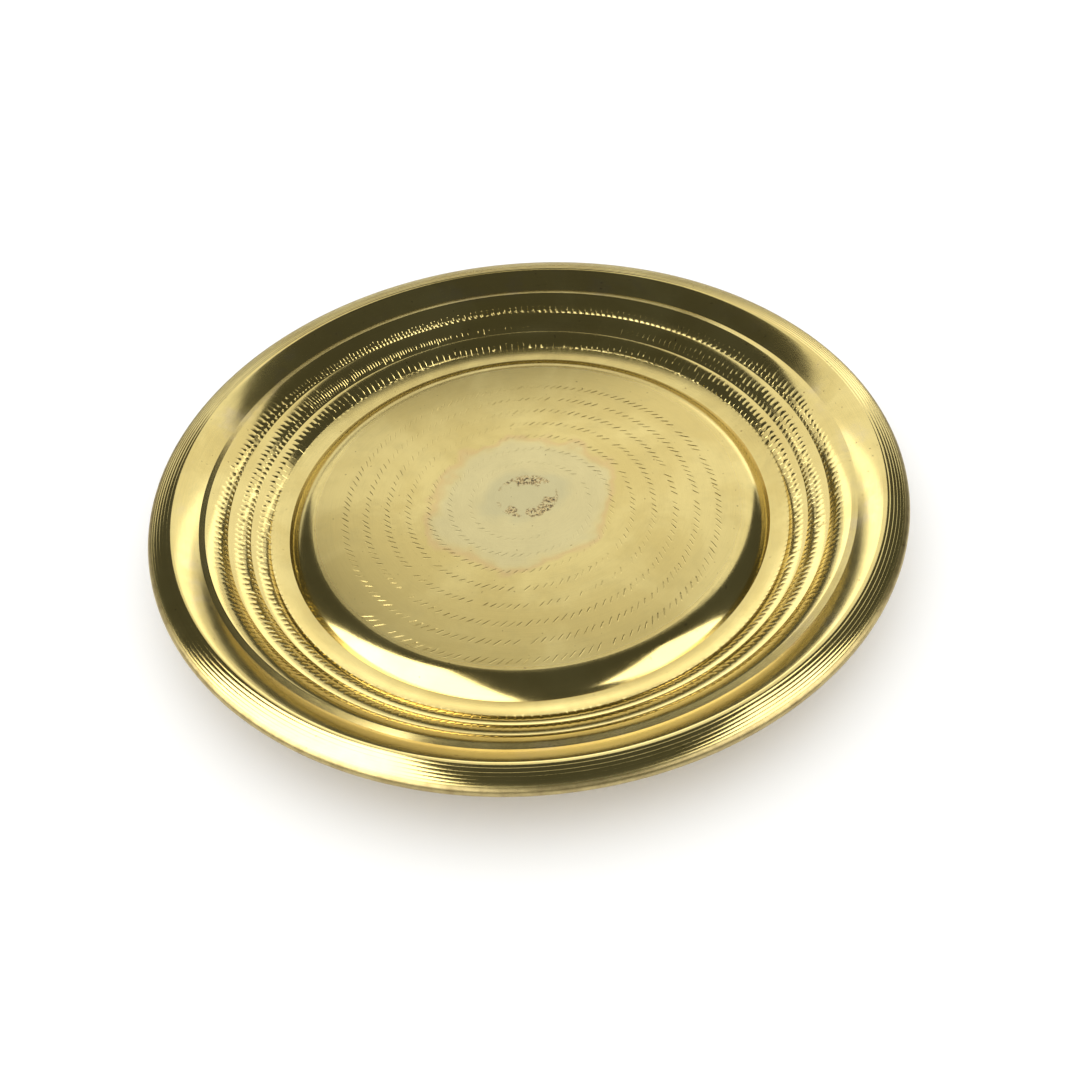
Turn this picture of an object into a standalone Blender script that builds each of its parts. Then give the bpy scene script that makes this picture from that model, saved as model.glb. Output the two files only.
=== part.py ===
"""Round brass serving tray: one spun sheet, stiffened by a steel wire inside the rolled edge of its lip.

Metres, +Z up. The origin is on the tray's axis, in the plane that the tray stands on.
"""

import bpy
from math import atan2, cos, hypot, pi, radians, sin, tan

MM = 0.001

# Driving dimensions, in millimetres. Heights are those of the upper face of the sheet.
SHEET = 0.8                    # thickness of the brass sheet
OVERALL_RADIUS = 150.0

PANEL_EDGE_RADIUS = 89.5       # the flat middle panel ends here
PANEL_HEIGHT = 5.4             # it is raised above the channel around it
CHANNEL_RADIUS = 100.0         # sharp crease at the foot of the panel's shoulder
CHANNEL_SAG = 0.25             # the channel's face is slightly hollow
FOOT_INNER_RADIUS = 98.6       # flat ring underneath, on which the tray stands
FOOT_OUTER_RADIUS = 103.0

# The wall climbs in three swelling steps, each from a sharp inner corner: (radius, height)
WALL_CORNERS = [(107.3, 2.8), (114.1, 7.6), (121.8, 13.2), (129.1, 19.8)]
STEP_BULGE = 0.7               # how far a step swells out of its chord
LEDGE_OUTER_RADIUS = 131.5     # narrow flat ledge above the three steps

# The upper wall meets the lip in a rounded brow, the highest line of the tray
BROW_RADIUS = 140.5
BROW_HEIGHT = 26.1
BROW_ROUND = 3.3
UPPER_WALL_BULGE = 0.3
WALL_SLOPE_AT_BROW = 27        # degrees up
LIP_SLOPE_AT_BROW = 3          # degrees down
LIP_SLOPE_AT_EDGE = 18
LIP_BULGE = 0.2

# The lip's edge is rolled under, round a wire
ROLL_RADIUS = 2.0              # outside of the roll
ROLL_HEIGHT = 22.9             # of the roll's centre
ROLL_SWEEP = 270               # degrees
WIRE_RADIUS = 0.9
WIRE_BUTT_GAP = 1.0            # between the two ends of the wire

TURNING_STEPS = 64


def clear_scene():
    for old in list(bpy.data.objects):
        bpy.data.objects.remove(old, do_unlink=True)


def bulged(start, end, bulge, parts):
    """Points after start up to end, on a circular arc that swells up and inwards by bulge."""
    chord = hypot(end[0] - start[0], end[1] - start[1])
    heading = atan2(end[1] - start[1], end[0] - start[0])
    half_turn = 2 * atan2(2 * bulge, chord)
    radius = chord / (2 * sin(half_turn))
    points = []
    for i in range(1, parts + 1):
        turn = half_turn * (1 - 2 * i / parts)
        along = chord / 2 - radius * sin(turn)
        out = radius * (cos(turn) - cos(half_turn))
        points.append((start[0] + along * cos(heading) - out * sin(heading),
                       start[1] + along * sin(heading) + out * cos(heading)))
    return points


def shoulder(parts):
    """The panel's rounded shoulder: level where it leaves the panel, steep at the crease."""
    width = CHANNEL_RADIUS - PANEL_EDGE_RADIUS
    drop = PANEL_HEIGHT - SHEET
    end_slope = 2 * atan2(drop, width)
    radius = width / sin(end_slope)
    points = []
    for i in range(1, parts + 1):
        slope = end_slope * i / parts
        points.append((PANEL_EDGE_RADIUS + radius * sin(slope), PANEL_HEIGHT - radius * (1 - cos(slope))))
    return points


def brow():
    """Where the brow's rounding starts on the wall and ends on the lip."""
    half_turn = radians(WALL_SLOPE_AT_BROW + LIP_SLOPE_AT_BROW) / 2
    reach = BROW_ROUND * tan(half_turn)
    up = radians(WALL_SLOPE_AT_BROW)
    down = radians(LIP_SLOPE_AT_BROW)
    corner_height = BROW_HEIGHT + BROW_ROUND * (1 / cos(half_turn) - 1)
    start = (BROW_RADIUS - reach * cos(up), corner_height - reach * sin(up))
    end = (BROW_RADIUS + reach * cos(down), corner_height - reach * sin(down))
    return start, end, BROW_ROUND * (1 - cos(half_turn))


def roll(radius, parts):
    """The rolled edge's section at one radius, from where the lip meets it, round the outside and under."""
    centre_r = OVERALL_RADIUS - ROLL_RADIUS
    points = []
    for i in range(parts + 1):
        angle = radians(90 - LIP_SLOPE_AT_EDGE - ROLL_SWEEP * i / parts)
        points.append((centre_r + radius * cos(angle), ROLL_HEIGHT + radius * sin(angle)))
    return points


def upper_face():
    """The sheet's upper face as (radius, height), from the axis to where the lip meets its rolled edge."""
    brow_start, brow_end, brow_bulge = brow()
    points = [(0.0, PANEL_HEIGHT), (PANEL_EDGE_RADIUS, PANEL_HEIGHT)]
    points += shoulder(4)
    points += bulged(points[-1], WALL_CORNERS[0], -CHANNEL_SAG, 2)
    for start, end in zip(WALL_CORNERS, WALL_CORNERS[1:]):
        points += bulged(start, end, STEP_BULGE, 3)
    points.append((LEDGE_OUTER_RADIUS, WALL_CORNERS[-1][1]))
    points += bulged(points[-1], brow_start, UPPER_WALL_BULGE, 2)
    points += bulged(brow_start, brow_end, brow_bulge, 3)
    points += bulged(brow_end, roll(ROLL_RADIUS, 1)[0], LIP_BULGE, 2)
    return points


def lower_face(upper):
    """The same line one sheet thickness lower, square to the sheet, with a flat foot under the crease."""
    points = []
    for i, (r, z) in enumerate(upper):
        before = upper[max(i - 1, 0)]
        after = upper[min(i + 1, len(upper) - 1)]
        slope_in = atan2(z - before[1], r - before[0]) if i > 0 else 0.0
        slope_out = atan2(after[1] - z, after[0] - r) if i < len(upper) - 1 else slope_in
        slope = (slope_in + slope_out) / 2
        reach = SHEET / cos((slope_out - slope_in) / 2)
        points.append((r + reach * sin(slope), z - reach * cos(slope)))
    points[0] = (0.0, PANEL_HEIGHT - SHEET)
    inner = [point for point in points if point[0] < FOOT_INNER_RADIUS]
    outer = [point for point in points if point[0] > FOOT_OUTER_RADIUS]
    return inner + [(FOOT_INNER_RADIUS, 0.0), (FOOT_OUTER_RADIUS, 0.0)] + outer


def tray_section():
    upper = upper_face()
    outside = roll(ROLL_RADIUS, 15)
    inside = roll(ROLL_RADIUS - SHEET, 10)
    return upper + outside[1:] + inside[::-1] + lower_face(upper)[-2::-1]


def turned(name, section):
    """A solid of revolution from a section that runs down its outer side."""
    mesh = bpy.data.meshes.new(name)
    corners = [(r * MM, 0.0, z * MM) for r, z in section]
    mesh.from_pydata(corners, [(i, i + 1) for i in range(len(section) - 1)], [])
    piece = bpy.data.objects.new(name, mesh)
    screw = piece.modifiers.new("Turn", "SCREW")
    screw.axis = "Z"
    screw.angle = 2 * pi
    screw.steps = TURNING_STEPS
    screw.render_steps = TURNING_STEPS
    screw.use_merge_vertices = True
    screw.merge_threshold = 0.00005
    screw.use_smooth_shade = True
    return piece


def facet_radius(radius, angle):
    """Where a ray at this angle crosses the turned shell's polygon of the given corner radius."""
    step = 2 * pi / TURNING_STEPS
    return radius * cos(step / 2) / cos(angle % step - step / 2)


def rim_wire():
    """An open ring of round wire whose two ends almost meet, lying in the rolled edge."""
    ring_radius = OVERALL_RADIUS - ROLL_RADIUS
    half_gap = WIRE_BUTT_GAP / 2 / ring_radius
    angles = [half_gap] + [2 * pi * i / TURNING_STEPS for i in range(1, TURNING_STEPS)] + [2 * pi - half_gap]
    curve = bpy.data.curves.new("rim_wire", "CURVE")
    curve.dimensions = "3D"
    curve.bevel_depth = WIRE_RADIUS * MM
    curve.bevel_resolution = 2
    curve.use_fill_caps = True
    spline = curve.splines.new("POLY")
    spline.points.add(len(angles) - 1)
    for point, angle in zip(spline.points, angles):
        r = facet_radius(ring_radius, angle)
        point.co = (r * cos(angle) * MM, r * sin(angle) * MM, ROLL_HEIGHT * MM, 1.0)
    return bpy.data.objects.new("rim_wire", curve)


def metal(name, colour, roughness):
    material = bpy.data.materials.new(name)
    material.use_nodes = True
    shader = material.node_tree.nodes["Principled BSDF"]
    shader.inputs["Base Color"].default_value = (*colour, 1.0)
    shader.inputs["Metallic"].default_value = 1.0
    shader.inputs["Roughness"].default_value = roughness
    return material


def main():
    clear_scene()
    parts = bpy.data.collections.new("brass_tray")
    bpy.context.scene.collection.children.link(parts)

    body = turned("tray_body", tray_section())
    body.data.materials.append(metal("satin brass", (0.72, 0.58, 0.25), 0.3))
    parts.objects.link(body)

    wire = rim_wire()
    wire.data.materials.append(metal("mild steel", (0.45, 0.44, 0.42), 0.4))
    parts.objects.link(wire)


main()
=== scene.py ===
"""Looks of the round brass tray: its turned and punched sheet, stained brass and steel wire."""

from math import atan2, cos, hypot, pi, radians, sin, tan
from random import Random

import bpy
from mathutils import Matrix, Vector
from mathutils.geometry import delaunay_2d_cdt


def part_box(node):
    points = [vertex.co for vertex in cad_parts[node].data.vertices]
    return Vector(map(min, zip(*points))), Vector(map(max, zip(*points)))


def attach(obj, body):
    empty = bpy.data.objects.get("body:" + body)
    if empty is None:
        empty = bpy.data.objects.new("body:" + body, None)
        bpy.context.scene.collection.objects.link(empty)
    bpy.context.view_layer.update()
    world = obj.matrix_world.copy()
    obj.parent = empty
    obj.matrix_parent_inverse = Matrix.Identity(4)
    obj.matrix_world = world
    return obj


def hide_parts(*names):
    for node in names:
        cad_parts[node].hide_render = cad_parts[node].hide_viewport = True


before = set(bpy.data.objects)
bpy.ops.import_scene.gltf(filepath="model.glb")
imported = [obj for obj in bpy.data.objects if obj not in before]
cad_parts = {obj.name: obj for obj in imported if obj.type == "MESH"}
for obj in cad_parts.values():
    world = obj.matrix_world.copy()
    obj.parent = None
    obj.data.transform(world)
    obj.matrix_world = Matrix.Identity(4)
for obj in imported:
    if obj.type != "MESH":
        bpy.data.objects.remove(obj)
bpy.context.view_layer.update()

MM = 0.001


tray_low, tray_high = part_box("tray_body")

# ---------------------------------------------------------------- the sheet, in millimetres
# Heights are those of the sheet's upper face, above the plane that the tray stands on
SHEET = 0.8
OVERALL_RADIUS = (tray_high.x - tray_low.x) / 2 / MM
PANEL_EDGE_RADIUS = 89.5
PANEL_HEIGHT = 5.4
CHANNEL_RADIUS = 100.0
CHANNEL_SAG = 0.25
FOOT_INNER_RADIUS = 98.6
FOOT_OUTER_RADIUS = 103.0
WALL_CORNERS = [(107.3, 2.8), (114.1, 7.6), (121.8, 13.2), (129.1, 19.8)]
STEP_BULGE = 0.7
LEDGE_OUTER_RADIUS = 131.5
BROW_RADIUS = 140.5
BROW_HEIGHT = 26.1
BROW_ROUND = 3.3
UPPER_WALL_BULGE = 0.3
WALL_SLOPE_AT_BROW = 27        # degrees up
LIP_SLOPE_AT_BROW = 3          # degrees down
LIP_SLOPE_AT_EDGE = 18
LIP_BULGE = 0.2
ROLL_RADIUS = 2.0
ROLL_HEIGHT = 22.9
ROLL_SWEEP = 270               # degrees

# Punched marks on each step of the wall: their count if evenly spaced, length along the slope,
# how much closer they are on the dense stretch, and the share of their depth at the step's foot
WALL_MARKS = [(235, 5.9, 0.0, 1.0), (262, 6.2, 1.0, 0.0), (272, 4.8, 0.5, 0.0)]
DENSE_FROM = radians(105)      # the stretch where the second and third rows are closer together
DENSE_TO = radians(145)
MARK_WIDTH = 0.66
MARK_DEPTH = 0.135
MARK_FLOOR = 0.28              # share of a mark's width that is its flat floor
MARK_TAPER = 0.6               # share of its width that it loses from foot to tip
MARK_ENTRY = 0.2               # share of its length over which it sinks in
MARK_CROWDING = 0.72           # the widest that a mark may be, as a share of the spacing
MARK_LEAN = 0.25               # how far a mark's tip may stand to either side of its foot
PROFILE_PARTS = 60             # fine parts of a step's arc, from which its rows of points are taken

# Slanted strokes on the panel, along a spiral whose centre is a little off the tray's
SPIRAL_PITCH = 8.7
SPIRAL_START_RADIUS = 20.0
SPIRAL_END_RADIUS = 82.6
SPIRAL_END_ANGLE = radians(-140)
SPIRAL_OFFSET = 4.3
SPIRAL_OFFSET_ANGLE = radians(-105)
STROKE_SPACING = 3.25
STROKE_LENGTH = 5.2
STROKE_WIDTH = 0.62
STROKE_DEPTH = 0.13
STROKES_MISSED = 0.05          # share of the strokes that is left out

# Turned grooves along the lip: distances from the lip's outer edge
LIP_GROOVES = [0.5, 1.5, 2.6, 3.85, 5.2, 6.7]
GROOVE_WIDTH = 0.32
GROOVE_DEPTH = 0.04
RIDGE_HEIGHT = 0.012           # of the faint swelling between two grooves
FINE_STEP = 0.05               # to which a groove's place is rounded

RING = 480                     # points round a plain turned line
UNDERSIDE_RING = 240
SHARP_EDGE = radians(24)       # edges that bend more than this are shaded as creases

UPPER = 0                      # the two materials of the sheet
UNDERSIDE = 1


def bulged(start, end, bulge, parts):
    """Points after start up to end, on a circular arc that swells up and inwards by bulge."""
    chord = hypot(end[0] - start[0], end[1] - start[1])
    heading = atan2(end[1] - start[1], end[0] - start[0])
    half_turn = 2 * atan2(2 * bulge, chord)
    radius = chord / (2 * sin(half_turn))
    points = []
    for i in range(1, parts + 1):
        turn = half_turn * (1 - 2 * i / parts)
        along = chord / 2 - radius * sin(turn)
        out = radius * (cos(turn) - cos(half_turn))
        points.append((start[0] + along * cos(heading) - out * sin(heading),
                       start[1] + along * sin(heading) + out * cos(heading)))
    return points


def shoulder(parts):
    """The panel's rounded shoulder: level where it leaves the panel, steep at the crease."""
    width = CHANNEL_RADIUS - PANEL_EDGE_RADIUS
    drop = PANEL_HEIGHT - SHEET
    end_slope = 2 * atan2(drop, width)
    radius = width / sin(end_slope)
    points = []
    for i in range(1, parts + 1):
        slope = end_slope * i / parts
        points.append((PANEL_EDGE_RADIUS + radius * sin(slope), PANEL_HEIGHT - radius * (1 - cos(slope))))
    return points


def brow():
    """Where the brow's rounding starts on the wall and ends on the lip, and how far it bulges."""
    half_turn = radians(WALL_SLOPE_AT_BROW + LIP_SLOPE_AT_BROW) / 2
    reach = BROW_ROUND * tan(half_turn)
    up = radians(WALL_SLOPE_AT_BROW)
    down = radians(LIP_SLOPE_AT_BROW)
    corner_height = BROW_HEIGHT + BROW_ROUND * (1 / cos(half_turn) - 1)
    start = (BROW_RADIUS - reach * cos(up), corner_height - reach * sin(up))
    end = (BROW_RADIUS + reach * cos(down), corner_height - reach * sin(down))
    return start, end, BROW_ROUND * (1 - cos(half_turn))


def roll(radius, parts):
    """The rolled edge's section, from where the lip meets it, round the outside and under."""
    centre_r = OVERALL_RADIUS - ROLL_RADIUS
    points = []
    for i in range(parts + 1):
        angle = radians(90 - LIP_SLOPE_AT_EDGE - ROLL_SWEEP * i / parts)
        points.append((centre_r + radius * cos(angle), ROLL_HEIGHT + radius * sin(angle)))
    return points


def grooved(points):
    """A line with turned grooves sunk at LIP_GROOVES, which are measured back from its last point."""
    fine = [points[0]]
    for start, end in zip(points, points[1:]):
        parts = max(1, round(hypot(end[0] - start[0], end[1] - start[1]) / FINE_STEP))
        for i in range(1, parts + 1):
            t = i / parts
            fine.append((start[0] + (end[0] - start[0]) * t, start[1] + (end[1] - start[1]) * t))
    # How far each fine point is from the last one, along the line
    back = [0.0]
    for after, before in zip(fine[::-1], fine[-2::-1]):
        back.append(back[-1] + hypot(after[0] - before[0], after[1] - before[1]))
    back = back[::-1]

    wanted = {}
    for centre in LIP_GROOVES:
        for offset, sink in ((-0.5, 0.0), (0.0, GROOVE_DEPTH), (0.5, 0.0)):
            wanted[round(centre + offset * GROOVE_WIDTH, 3)] = sink
    for outer, inner in zip(LIP_GROOVES, LIP_GROOVES[1:]):
        wanted[round((outer + inner) / 2, 3)] = -RIDGE_HEIGHT
    result = []
    for distance in sorted(wanted, reverse=True):
        nearest = min(range(len(back)), key=lambda k: abs(back[k] - distance))
        r, z = fine[nearest]
        result.append((r, z - wanted[distance]))
    return result + [points[-1]]


def upper_sections():
    """The upper face as named runs of (radius, height) points."""
    brow_start, brow_end, brow_bulge = brow()
    sections = {"shoulder": [(PANEL_EDGE_RADIUS, PANEL_HEIGHT)] + shoulder(9)}
    crease = sections["shoulder"][-1]
    sections["channel"] = bulged(crease, WALL_CORNERS[0], -CHANNEL_SAG, 16)[1:-1:3]
    upper = [(LEDGE_OUTER_RADIUS, WALL_CORNERS[-1][1])]
    upper += bulged(upper[-1], brow_start, UPPER_WALL_BULGE, 5)
    upper += bulged(brow_start, brow_end, brow_bulge, 7)
    sections["upper_wall"] = upper
    lip_end = roll(ROLL_RADIUS, 1)[0]
    sections["lip"] = grooved([brow_end] + bulged(brow_end, lip_end, LIP_BULGE, 12))
    return sections


def coarse_upper_face():
    """The whole upper face with fewer points, as the underside follows it."""
    brow_start, brow_end, brow_bulge = brow()
    points = [(0.0, PANEL_HEIGHT), (PANEL_EDGE_RADIUS, PANEL_HEIGHT)]
    points += shoulder(5)
    points += bulged(points[-1], WALL_CORNERS[0], -CHANNEL_SAG, 2)
    for start, end in zip(WALL_CORNERS, WALL_CORNERS[1:]):
        points += bulged(start, end, STEP_BULGE, 3)
    points.append((LEDGE_OUTER_RADIUS, WALL_CORNERS[-1][1]))
    points += bulged(points[-1], brow_start, UPPER_WALL_BULGE, 2)
    points += bulged(brow_start, brow_end, brow_bulge, 3)
    points += bulged(brow_end, roll(ROLL_RADIUS, 1)[0], LIP_BULGE, 2)
    return points


def lower_face(upper):
    """The same line one sheet thickness lower, square to the sheet, with a flat foot under the crease."""
    points = []
    for i, (r, z) in enumerate(upper):
        before = upper[max(i - 1, 0)]
        after = upper[min(i + 1, len(upper) - 1)]
        slope_in = atan2(z - before[1], r - before[0]) if i > 0 else 0.0
        slope_out = atan2(after[1] - z, after[0] - r) if i < len(upper) - 1 else slope_in
        slope = (slope_in + slope_out) / 2
        reach = SHEET / cos((slope_out - slope_in) / 2)
        points.append((r + reach * sin(slope), z - reach * cos(slope)))
    inner = [point for point in points if 0 < point[0] < FOOT_INNER_RADIUS]
    outer = [point for point in points if point[0] > FOOT_OUTER_RADIUS]
    return inner + [(FOOT_INNER_RADIUS, 0.0), (FOOT_OUTER_RADIUS, 0.0)] + outer


class Skin:
    """A mesh grown from closed rings of points about the tray's axis, in millimetres."""

    def __init__(self):
        self.points = []
        self.faces = []
        self.materials = []
        self.smooth = []

    def add(self, points):
        first = len(self.points)
        self.points += points
        return list(range(first, len(self.points)))

    def circle(self, radius, height, count):
        step = 2 * pi / count
        return self.add([(radius * cos(i * step), radius * sin(i * step), height) for i in range(count)])

    def face(self, corners, material, smooth=True):
        self.faces.append(corners)
        self.materials.append(material)
        self.smooth.append(smooth)

    def bridge(self, inner, outer, material):
        """Quads between two rings of the same count."""
        count = len(inner)
        for i in range(count):
            j = (i + 1) % count
            self.face((inner[i], outer[i], outer[j], inner[j]), material)

    def stitch(self, inner, outer, material):
        """Triangles between two rings of different counts that both start near angle 0."""

        def angles(ring):
            found = [0.0]
            for index in ring:
                x, y, _ = self.points[index]
                found.append(found[-1] + (atan2(y, x) - found[-1] + pi) % (2 * pi) - pi)
            return found[1:] + [found[1] + 2 * pi]

        inner_angles = angles(inner)
        outer_angles = angles(outer)
        i = 0
        j = 0
        while i < len(inner) or j < len(outer):
            here_in = inner[i % len(inner)]
            here_out = outer[j % len(outer)]
            step_inner = j == len(outer)
            if i < len(inner) and j < len(outer):
                step_inner = inner_angles[i + 1] < outer_angles[j + 1]
            if step_inner:
                i += 1
                self.face((here_in, here_out, inner[i % len(inner)]), material)
            else:
                j += 1
                self.face((here_in, here_out, outer[j % len(outer)]), material)


def stroke_centres(draw):
    """Centres of the panel's strokes along the off-centre spiral, from its outer end inwards."""
    centre = Vector((SPIRAL_OFFSET * cos(SPIRAL_OFFSET_ANGLE), SPIRAL_OFFSET * sin(SPIRAL_OFFSET_ANGLE)))
    radius = SPIRAL_END_RADIUS
    angle = SPIRAL_END_ANGLE
    while radius > SPIRAL_START_RADIUS:
        place = centre + Vector((radius * cos(angle), radius * sin(angle)))
        yield place, angle, radius
        turn = STROKE_SPACING * draw.uniform(0.86, 1.14) / radius
        angle += turn
        radius -= SPIRAL_PITCH * turn / (2 * pi)


def panel(skin, rim):
    """The flat middle panel, with each stroke cut as a narrow furrow, joined to the ring of points rim."""
    draw = Random(11)
    flat = [Vector(skin.points[index][:2]) for index in rim]
    edges = [(k, (k + 1) % len(rim)) for k in range(len(rim))]
    sunk = {}
    for place, angle, radius in stroke_centres(draw):
        if draw.random() < STROKES_MISSED:
            continue
        outwards = Vector((cos(angle), sin(angle)))
        clockwise = Vector((sin(angle), -cos(angle)))
        slant = radians(draw.uniform(40, 50))
        along = outwards * cos(slant) + clockwise * sin(slant)
        across = Vector((-along.y, along.x))
        outness = radius / SPIRAL_END_RADIUS
        length = STROKE_LENGTH * draw.uniform(0.72, 1.08) * (0.55 + 0.45 * outness)
        width = STROKE_WIDTH * draw.uniform(0.8, 1.15)
        place = place + outwards * draw.uniform(-0.25, 0.25)
        # The furrow's outline and the two ends of its bottom, as shares of its length and width
        corners = [(-0.5, 0.0), (-0.3, 0.5), (0.32, 0.5), (0.5, 0.0), (0.32, -0.5), (-0.3, -0.5)]
        first = len(flat)
        flat += [place + along * (length * a) + across * (width * b) for a, b in corners]
        edges += [(first + k, first + (k + 1) % 6) for k in range(6)]
        middle = len(flat)
        flat += [place + along * (length * a) for a in (-0.24, 0.26)]
        edges += [(first, middle), (middle, middle + 1), (middle + 1, first + 3)]
        depth = STROKE_DEPTH * draw.uniform(0.6, 1.1) * (0.3 + 0.7 * outness)
        sunk[middle] = depth
        sunk[middle + 1] = depth
    inside_only = 1
    corners, _, faces, sources, _, _ = delaunay_2d_cdt(flat, edges, [], inside_only, 1e-6)
    indices = []
    for corner, source in zip(corners, sources):
        if source and source[0] < len(rim):
            indices.append(rim[source[0]])
        else:
            depth = max([sunk.get(s, 0.0) for s in source] + [0.0])
            indices += skin.add([(corner.x, corner.y, PANEL_HEIGHT - depth)])
    for face in faces:
        skin.face(tuple(indices[k] for k in face), UPPER, smooth=False)


def mark_angles(count, dense_share, draw):
    """Angles of the punched marks round one step, closer together on one stretch of it."""
    angles = []
    angle = 0.0
    spacing = 2 * pi / count
    while angle < 2 * pi:
        angles.append(angle)
        dense = DENSE_FROM < angle < DENSE_TO
        step = spacing / (1 + dense_share) if dense else spacing
        angle += step * draw.uniform(0.9, 1.1)
    scale = 2 * pi / angle
    return [a * scale for a in angles]


def step_rows(skin, start, end, marks, length, foot, draw):
    """Rings of points up one step of the wall, with marks punched from its foot outwards.

    Each mark has four points across it, and one more point stands midway to the next mark.
    """
    chord = hypot(end[0] - start[0], end[1] - start[1])
    # The last points are left out, because the next step's first row lies there
    profile = [start] + bulged(start, end, STEP_BULGE, PROFILE_PARTS)[:-3]
    spacings = [(b - a) % (2 * pi) for a, b in zip(marks, marks[1:] + marks[:1])]
    lengths = [length * draw.uniform(0.86, 1.06) for _ in marks]
    depths = [MARK_DEPTH * draw.uniform(0.7, 1.15) for _ in marks]
    leans = [draw.uniform(-MARK_LEAN, MARK_LEAN) for _ in marks]
    shares = [0.0, 0.06, 0.2, 0.4, 0.6, 0.8, 1.0]
    distances = [share * length for share in shares] + [(length + chord * 0.96) / 2, chord * 0.965]
    offsets = (-0.5, -MARK_FLOOR / 2, MARK_FLOOR / 2, 0.5)
    rows = []
    for distance in distances:
        place = min(len(profile) - 1, round(distance / chord * PROFILE_PARTS))
        r, z = profile[place]
        before = profile[max(place - 1, 0)]
        after = profile[min(place + 1, len(profile) - 1)]
        slope = atan2(after[1] - before[1], after[0] - before[0])
        row = []
        for angle, spacing, mark_length, depth, lean in zip(marks, spacings, lengths, depths, leans):
            part = min(distance / mark_length, 1.0)
            width = min(MARK_WIDTH, MARK_CROWDING * spacing * r) * (1.0 - MARK_TAPER * part)
            entry = foot + (1.0 - foot) * min(part / MARK_ENTRY, 1.0)
            sink = depth * (1.0 - part ** 3) * entry
            shift = lean * distance / length
            for offset, down in zip(offsets, (0.0, sink, sink, 0.0)):
                turn = angle + (offset * width + shift) / r
                out_r = r + down * sin(slope)
                row.append((out_r * cos(turn), out_r * sin(turn), z - down * cos(slope)))
            turn = angle + spacing / 2
            row.append((r * cos(turn), r * sin(turn), z))
        rows.append(skin.add(row))
    return rows


def tray_skin():
    """The whole closed skin: upper face from panel to roll, then back along the underside."""
    skin = Skin()
    sections = upper_sections()
    draw = Random(5)

    rings = [skin.circle(r, z, RING) for r, z in sections["shoulder"] + sections["channel"]]
    panel(skin, rings[0])
    for inner, outer in zip(rings, rings[1:]):
        skin.bridge(inner, outer, UPPER)
    last = rings[-1]
    steps = zip(WALL_CORNERS, WALL_CORNERS[1:], WALL_MARKS)
    for corner, next_corner, (count, length, dense_share, foot) in steps:
        marks = mark_angles(count, dense_share, draw)
        rows = step_rows(skin, corner, next_corner, marks, length, foot, draw)
        skin.stitch(last, rows[0], UPPER)
        for inner, outer in zip(rows, rows[1:]):
            skin.bridge(inner, outer, UPPER)
        last = rows[-1]
    ledge = skin.circle(*WALL_CORNERS[-1], RING)
    skin.stitch(last, ledge, UPPER)
    last = ledge
    outline = sections["upper_wall"] + sections["lip"] + roll(ROLL_RADIUS, 16)[1:]
    for r, z in outline:
        ring = skin.circle(r, z, RING)
        skin.bridge(last, ring, UPPER)
        last = ring

    under = roll(ROLL_RADIUS - SHEET, 10)[::-1] + lower_face(coarse_upper_face())[-2::-1]
    ring = skin.circle(*under[0], UNDERSIDE_RING)
    skin.stitch(last, ring, UNDERSIDE)
    last = ring
    for r, z in under[1:]:
        ring = skin.circle(r, z, UNDERSIDE_RING)
        skin.bridge(last, ring, UNDERSIDE)
        last = ring
    centre = skin.add([(0.0, 0.0, PANEL_HEIGHT - SHEET)])[0]
    for i, index in enumerate(last):
        skin.face((index, centre, last[(i + 1) % len(last)]), UNDERSIDE)
    return skin


# ---------------------------------------------------------------- materials

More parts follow.
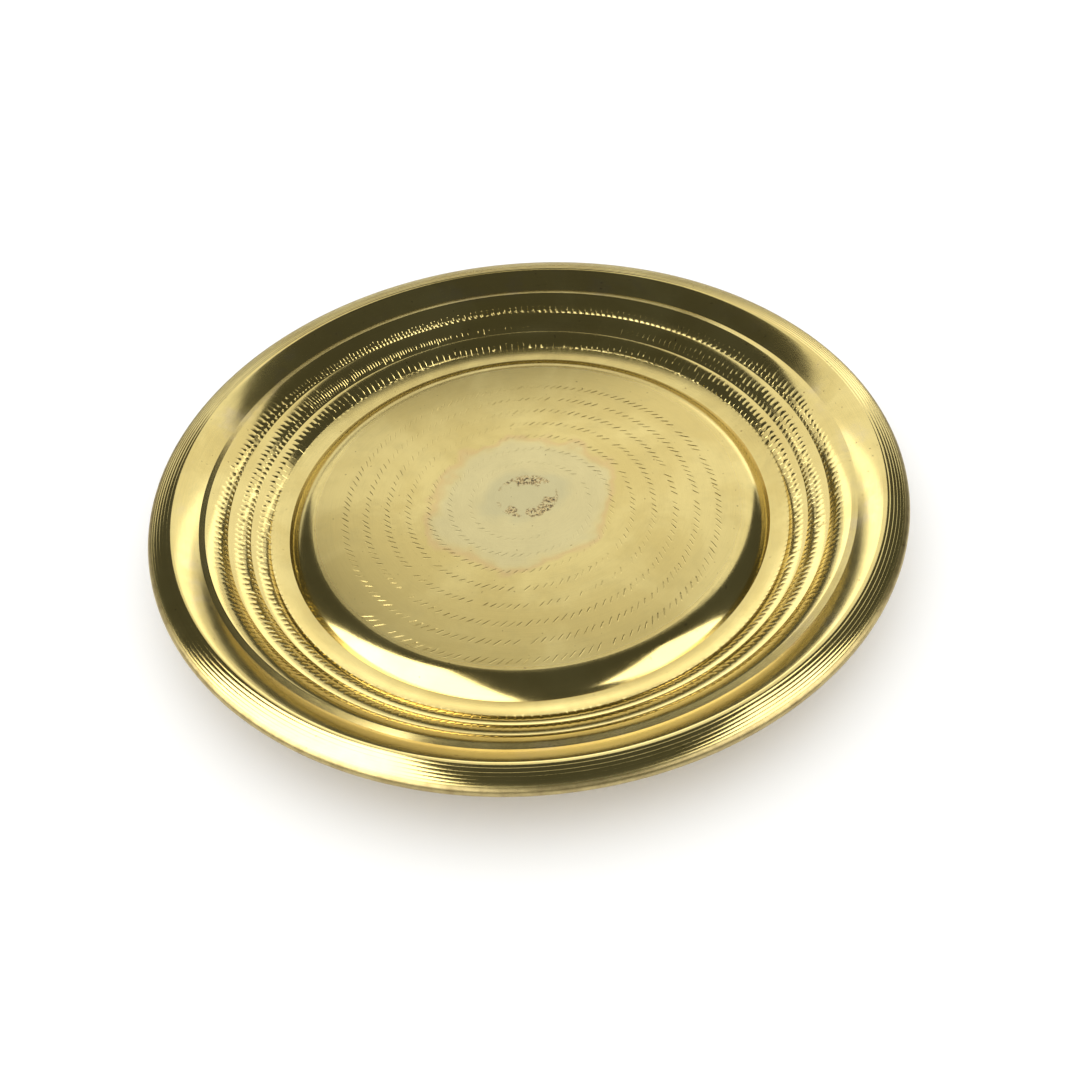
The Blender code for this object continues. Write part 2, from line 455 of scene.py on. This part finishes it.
class Graph:
    """Short ways to add nodes to one material or world."""

    def __init__(self, tree):
        self.tree = tree

    def node(self, kind, **settings):
        made = self.tree.nodes.new("ShaderNode" + kind)
        for name, value in settings.items():
            setattr(made, name, value)
        return made

    def put(self, socket, value):
        """Link value to the socket where it is another node's output, and set it where it is a number."""
        if isinstance(value, bpy.types.NodeSocket):
            self.tree.links.new(value, socket)
        elif isinstance(value, tuple) and len(value) == 3 and socket.type == "RGBA":
            socket.default_value = (*value, 1.0)
        else:
            socket.default_value = value

    def math(self, operation, *values, clamp=False):
        made = self.node("Math", operation=operation, use_clamp=clamp)
        for socket, value in zip(made.inputs, values):
            self.put(socket, value)
        return made.outputs[0]

    def ramp(self, value, low, high):
        """A smooth step from 0 at low to 1 at high; low may be the larger."""
        made = self.node("MapRange", interpolation_type="SMOOTHSTEP")
        for name, number in (("Value", value), ("From Min", low), ("From Max", high)):
            self.put(made.inputs[name], number)
        return made.outputs[0]

    def band(self, value, start, end, soft):
        """1 where value lies between start and end, with soft borders."""
        rise = self.ramp(value, start - soft, start + soft)
        fall = self.ramp(value, end + soft, end - soft)
        return self.math("MULTIPLY", rise, fall)

    def levels(self, value, stops, top):
        """A number that changes with value along straight runs between stops of (value, number)."""
        made = self.node("ValToRGB")
        ramp = made.color_ramp
        self.put(made.inputs[0], self.math("DIVIDE", value, top))
        for i, (place, number) in enumerate(stops):
            stop = ramp.elements[i] if i < 2 else ramp.elements.new(place / top)
            stop.position = place / top
            stop.color = (number, number, number, 1.0)
        return made.outputs[0]

    def mix(self, share, first, second):
        """A colour between first and second; the node's colour sockets are 6, 7 and output 2."""
        made = self.node("Mix", data_type="RGBA")
        self.put(made.inputs[0], share)
        self.put(made.inputs[6], first)
        self.put(made.inputs[7], second)
        return made.outputs[2]

    def noise(self, vector, scale, detail, roughness, distortion=0.0):
        made = self.node("TexNoise")
        for name, value in (("Vector", vector), ("Scale", scale), ("Detail", detail),
                            ("Roughness", roughness), ("Distortion", distortion)):
            self.put(made.inputs[name], value)
        return made.outputs["Fac"]

    def vector(self, x, y, z):
        made = self.node("CombineXYZ")
        for socket, value in zip(made.inputs, (x, y, z)):
            self.put(socket, value)
        return made.outputs[0]

    def bump(self, height, strength, distance, under=None):
        """Shading relief of the given height; under is the relief that it lies on."""
        made = self.node("Bump")
        made.inputs["Strength"].default_value = strength
        made.inputs["Distance"].default_value = distance * MM
        self.put(made.inputs["Height"], height)
        if under is not None:
            self.put(made.inputs["Normal"], under)
        return made.outputs[0]


def new_material(name):
    """A material, its graph and its shader."""
    material = bpy.data.materials.new(name)
    material.use_nodes = True
    return material, Graph(material.node_tree), material.node_tree.nodes["Principled BSDF"]


def round_axis(graph):
    """The object's own coordinates in millimetres: place, radius, angle in radians and height."""
    place = graph.node("TexCoord").outputs["Object"]
    scaled = graph.node("VectorMath", operation="SCALE")
    graph.put(scaled.inputs[0], place)
    scaled.inputs["Scale"].default_value = 1 / MM
    parts = graph.node("SeparateXYZ")
    graph.put(parts.inputs[0], scaled.outputs[0])
    x, y, z = parts.outputs
    squares = graph.math("ADD", graph.math("MULTIPLY", x, x), graph.math("MULTIPLY", y, y))
    radius = graph.math("SQRT", squares)
    angle = graph.math("ARCTAN2", y, x)
    return scaled.outputs[0], radius, angle, z


def turned_lines(graph, radius, angle, z, scale):
    """Fine lines left by turning: they vary quickly with radius and slowly along each line."""
    along = graph.math("MULTIPLY", angle, 6.0)
    return graph.noise(graph.vector(graph.math("MULTIPLY", radius, scale), along,
                                    graph.math("MULTIPLY", z, scale)), 1.0, 3.0, 0.6)


def brass_upper():
    """Brass with turning lines, a pale stain round flecks of old glue, specks, and painted shade that
    darkens the rolled edge unevenly.
    """
    material, graph, shader = new_material("turned_brass")
    place, radius, angle, z = round_axis(graph)

    wander = graph.math("MULTIPLY_ADD", graph.noise(place, 0.035, 3.0, 0.55), 34.0, -17.0)
    stain_radius = graph.math("ADD", radius, wander)
    cloud = graph.ramp(stain_radius, 42.0, 33.0)
    outline = graph.band(stain_radius, 37.6, 40.2, 1.6)
    middle = graph.ramp(stain_radius, 20.0, 12.0)
    on_panel = graph.ramp(radius, 96.0, 88.0)

    patches = graph.noise(place, 0.022, 4.0, 0.6, 0.6)
    mottle = graph.noise(place, 0.12, 5.0, 0.65, 0.3)
    grain = turned_lines(graph, radius, angle, z, 3.2)
    fine = turned_lines(graph, radius, angle, z, 9.0)

    clean = graph.mix(graph.ramp(patches, 0.38, 0.66), (0.70, 0.555, 0.215), (0.80, 0.655, 0.275))
    clean = graph.mix(graph.math("MULTIPLY", graph.ramp(mottle, 0.45, 0.75), 0.25), clean,
                      (0.60, 0.50, 0.22))
    hazed = graph.mix(graph.math("MULTIPLY", cloud, 0.6), clean, (0.86, 0.78, 0.47))
    hazed = graph.mix(graph.math("MULTIPLY", outline, 0.4), hazed, (0.72, 0.46, 0.23))
    hazed = graph.mix(graph.math("MULTIPLY", middle, 0.4), hazed, (0.58, 0.55, 0.35))

    crumbs = graph.noise(place, 0.8, 5.0, 0.72, 0.6)
    clumps = graph.noise(place, 0.12, 1.0, 0.5)
    glue_ring = graph.band(radius, 7.4, 12.6, 0.9)
    glue_zone = graph.math("MULTIPLY", glue_ring, graph.ramp(clumps, 0.46, 0.54))
    glue = graph.math("MULTIPLY", graph.ramp(crumbs, 0.46, 0.52), glue_zone)
    glue_dark = graph.math("MULTIPLY", graph.ramp(crumbs, 0.52, 0.56), glue_zone)
    hazed = graph.mix(graph.math("MULTIPLY", glue, 0.8), hazed, (0.50, 0.30, 0.08))
    hazed = graph.mix(glue_dark, hazed, (0.07, 0.06, 0.025))

    specks = graph.ramp(graph.noise(place, 0.55, 2.0, 0.4), 0.735, 0.765)
    hazed = graph.mix(graph.math("MULTIPLY", specks, 0.6), hazed, (0.22, 0.14, 0.05))

    smudge = graph.math("MULTIPLY", graph.band(radius, 128.5, 139.0, 2.0),
                        graph.ramp(graph.noise(place, 0.05, 4.0, 0.65), 0.5, 0.72))
    hazed = graph.mix(graph.math("MULTIPLY", smudge, 0.35), hazed, (0.66, 0.55, 0.42))
    # Painted shade: the colour darkens, unevenly, over the rolled edge's outer side, standing in for the
    # shadow and dim reflection there
    roll_shade_share = graph.ramp(radius, 147.6, 149.0)
    painted_roll_shade = graph.mix(graph.ramp(graph.noise(place, 0.16, 5.0, 0.7), 0.35, 0.7),
                        (0.42, 0.34, 0.17), (0.20, 0.145, 0.075))
    colour = graph.mix(graph.math("MULTIPLY", roll_shade_share, 0.75), hazed, painted_roll_shade)
    streaked = graph.mix(graph.math("MULTIPLY", graph.ramp(fine, 0.4, 0.7), 0.12), colour,
                         (0.34, 0.26, 0.10))
    graph.put(shader.inputs["Base Color"], streaked)

    # Satin panel and channel, brighter shoulder, steps and lip, dull edge: radius and roughness
    polish = graph.levels(radius, [(0.0, 0.33), (87.0, 0.31), (91.0, 0.15), (99.4, 0.13), (100.6, 0.25),
                                   (107.0, 0.24), (107.6, 0.12), (129.0, 0.12), (129.6, 0.22),
                                   (133.0, 0.15), (141.0, 0.14), (143.0, 0.11), (147.0, 0.13),
                                   (149.0, 0.42)], OVERALL_RADIUS)
    worn = graph.math("MULTIPLY_ADD", mottle, 0.10, -0.05)
    dull = graph.math("MULTIPLY", graph.math("MAXIMUM", glue, glue_dark), 0.4)
    hazy = graph.math("MULTIPLY", graph.math("MULTIPLY", cloud, on_panel), 0.10)
    rough = graph.math("ADD", graph.math("ADD", polish, worn), graph.math("ADD", dull, hazy), clamp=True)
    graph.put(shader.inputs["Roughness"], rough)
    graph.put(shader.inputs["Metallic"], graph.math("SUBTRACT", 1.0, graph.math("MULTIPLY", glue, 0.9)))

    across = graph.vector(graph.math("MULTIPLY", radius, 0.35), graph.math("MULTIPLY", angle, 60.0), 0.0)
    scratches = graph.noise(across, 1.0, 4.0, 0.7, 1.5)
    height = graph.math("ADD", grain, graph.math("MULTIPLY", scratches, 0.25))
    height = graph.math("ADD", height, graph.math("MULTIPLY", fine, 0.5))
    lines = graph.bump(height, 0.35, 0.02)
    waves = graph.bump(graph.noise(place, 0.028, 2.0, 0.5), 0.5, 0.15, under=lines)
    graph.put(shader.inputs["Normal"], waves)
    return material


def brass_underside():
    """Duller brass with spots, worn bright along the foot."""
    material, graph, shader = new_material("dull_brass")
    place, radius, angle, z = round_axis(graph)
    patches = graph.noise(place, 0.03, 5.0, 0.6, 0.8)
    grain = turned_lines(graph, radius, angle, z, 2.2)
    colour = graph.mix(graph.ramp(patches, 0.35, 0.7), (0.62, 0.47, 0.18), (0.46, 0.34, 0.14))
    spots = graph.ramp(graph.noise(place, 0.4, 3.0, 0.6), 0.66, 0.74)
    colour = graph.mix(graph.math("MULTIPLY", spots, 0.5), colour, (0.22, 0.15, 0.07))
    worn = graph.math("MULTIPLY", graph.band(radius, FOOT_INNER_RADIUS, FOOT_OUTER_RADIUS, 0.8), 0.6)
    colour = graph.mix(worn, colour, (0.74, 0.60, 0.28))
    graph.put(shader.inputs["Base Color"], colour)
    graph.put(shader.inputs["Roughness"], graph.math("MULTIPLY_ADD", patches, 0.22, 0.26))
    shader.inputs["Metallic"].default_value = 1.0
    graph.put(shader.inputs["Normal"], graph.bump(grain, 0.5, 0.05))
    return material


def wire_steel():
    """Plain drawn steel with patches of rust."""
    material, graph, shader = new_material("drawn_steel")
    place = round_axis(graph)[0]
    rust = graph.ramp(graph.noise(place, 0.5, 5.0, 0.7), 0.5, 0.68)
    graph.put(shader.inputs["Base Color"], graph.mix(rust, (0.42, 0.41, 0.39), (0.20, 0.10, 0.045)))
    graph.put(shader.inputs["Roughness"], graph.math("MULTIPLY_ADD", rust, 0.35, 0.35))
    graph.put(shader.inputs["Metallic"], graph.math("MULTIPLY_ADD", rust, -0.7, 1.0))
    graph.put(shader.inputs["Normal"], graph.bump(graph.noise(place, 3.0, 4.0, 0.6), 0.4, 0.03))
    return material


# ---------------------------------------------------------------- pieces

def build_tray():
    """One mesh for the whole sheet; its flat panel is shaded flat, so that only the strokes show on it."""
    skin = tray_skin()
    mesh = bpy.data.meshes.new("brass_tray")
    mesh.from_pydata([(x * MM, y * MM, z * MM) for x, y, z in skin.points], [], skin.faces)
    mesh.polygons.foreach_set("material_index", skin.materials)
    mesh.shade_smooth()
    mesh.set_sharp_from_angle(angle=SHARP_EDGE)
    mesh.polygons.foreach_set("use_smooth", skin.smooth)
    mesh.validate()
    tray = bpy.data.objects.new("brass_tray", mesh)
    bpy.context.scene.collection.objects.link(tray)
    mesh.materials.append(brass_upper())
    mesh.materials.append(brass_underside())
    return tray


tray = build_tray()
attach(tray, "root")
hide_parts("tray_body")

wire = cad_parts["rim_wire"]
wire.data.materials.clear()
wire.data.materials.append(wire_steel())


# ---------------------------------------------------------------- floor, light and camera

def floor():
    """A pale square floor."""
    mesh = bpy.data.meshes.new("floor")
    half = 3.0
    mesh.from_pydata([(-half, -half, 0), (half, -half, 0), (half, half, 0), (-half, half, 0)],
                     [], [(0, 1, 2, 3)])
    plane = bpy.data.objects.new("floor", mesh)
    bpy.context.scene.collection.objects.link(plane)
    material, _, shader = new_material("pale_floor")
    shader.inputs["Base Color"].default_value = (0.93, 0.93, 0.92, 1.0)
    shader.inputs["Roughness"].default_value = 0.9
    mesh.materials.append(material)


def softbox(name, place, across, up, width, height, radiance):
    """A soft lamp centred at place, in metres, that is seen in reflections and not by the camera.

    Across and up are the directions of its edges, and it shines along up x across.
    """
    data = bpy.data.lights.new(name, "AREA")
    data.shape = "RECTANGLE"
    data.size = width
    data.size_y = height
    data.energy = radiance * width * height * 4  # an area lamp's radiance is energy / (4 * area)
    data.color = (1.0, 0.99, 0.94)
    lamp = bpy.data.objects.new(name, data)
    bpy.context.scene.collection.objects.link(lamp)
    x_axis = Vector(across).normalized()
    z_axis = x_axis.cross(Vector(up)).normalized()
    turn = Matrix((x_axis, z_axis.cross(x_axis), z_axis)).transposed().to_4x4()
    lamp.matrix_world = Matrix.Translation(place) @ turn
    lamp.visible_camera = False
    lamp.visible_diffuse = False


def studio():
    """Surroundings that look dim in a mirror, a sheet and a backdrop behind the tray, and two softboxes."""
    world = bpy.data.worlds.new("studio")
    bpy.context.scene.world = world
    world.use_nodes = True
    graph = Graph(world.node_tree)
    background = world.node_tree.nodes["Background"]
    mirrored = graph.node("LightPath").outputs["Is Glossy Ray"]
    room = (1.3, 1.3, 1.29)
    room_mirrored = (0.075, 0.078, 0.066)
    graph.put(background.inputs["Color"], graph.mix(mirrored, room, room_mirrored))
    softbox("sheet_behind", place=(0.084, 0.286, 0.402), across=(-0.99, 0.06, 0.14), up=(0.15, 0.34, 0.93),
            width=0.45, height=0.68, radiance=0.8)
    softbox("backdrop", place=(0.0, 0.8, 0.34), across=(-1.0, 0.0, 0.0), up=(0.0, 0.0, 1.0),
            width=3.0, height=0.32, radiance=0.68)
    softbox("softbox_left", place=(-0.475, -0.374, 0.35), across=(0.05, 0.94, -0.33), up=(-0.97, 0.12, 0.22),
            width=0.81, height=0.81, radiance=3.0)
    softbox("softbox_right", place=(0.3, -0.394, 0.35), across=(-0.22, 0.76, -0.61), up=(-0.84, 0.17, 0.52),
            width=0.80, height=0.24, radiance=2.4)


def camera():
    """Looks down at the tray from in front, banked a little to one side."""
    elevation = radians(44.24)
    distance = 0.4377
    bank = radians(-5.46)
    tilt = radians(-1.977)
    pan = radians(-0.672)
    data = bpy.data.cameras.new("camera")
    data.lens = 34.668
    data.sensor_width = 36.0
    view = bpy.data.objects.new("camera", data)
    bpy.context.scene.collection.objects.link(view)
    place = Vector((0.0, -distance * cos(elevation), distance * sin(elevation) + SHEET * MM))
    turn = Matrix.Rotation(radians(90) - elevation, 4, "X")
    turn = turn @ Matrix.Rotation(bank, 4, "Z")
    turn = turn @ Matrix.Rotation(tilt, 4, "X")
    turn = turn @ Matrix.Rotation(pan, 4, "Y")
    view.matrix_world = Matrix.Translation(place) @ turn
    bpy.context.scene.camera = view


floor()
studio()
camera()
bpy.context.scene.view_settings.view_transform = "Standard"
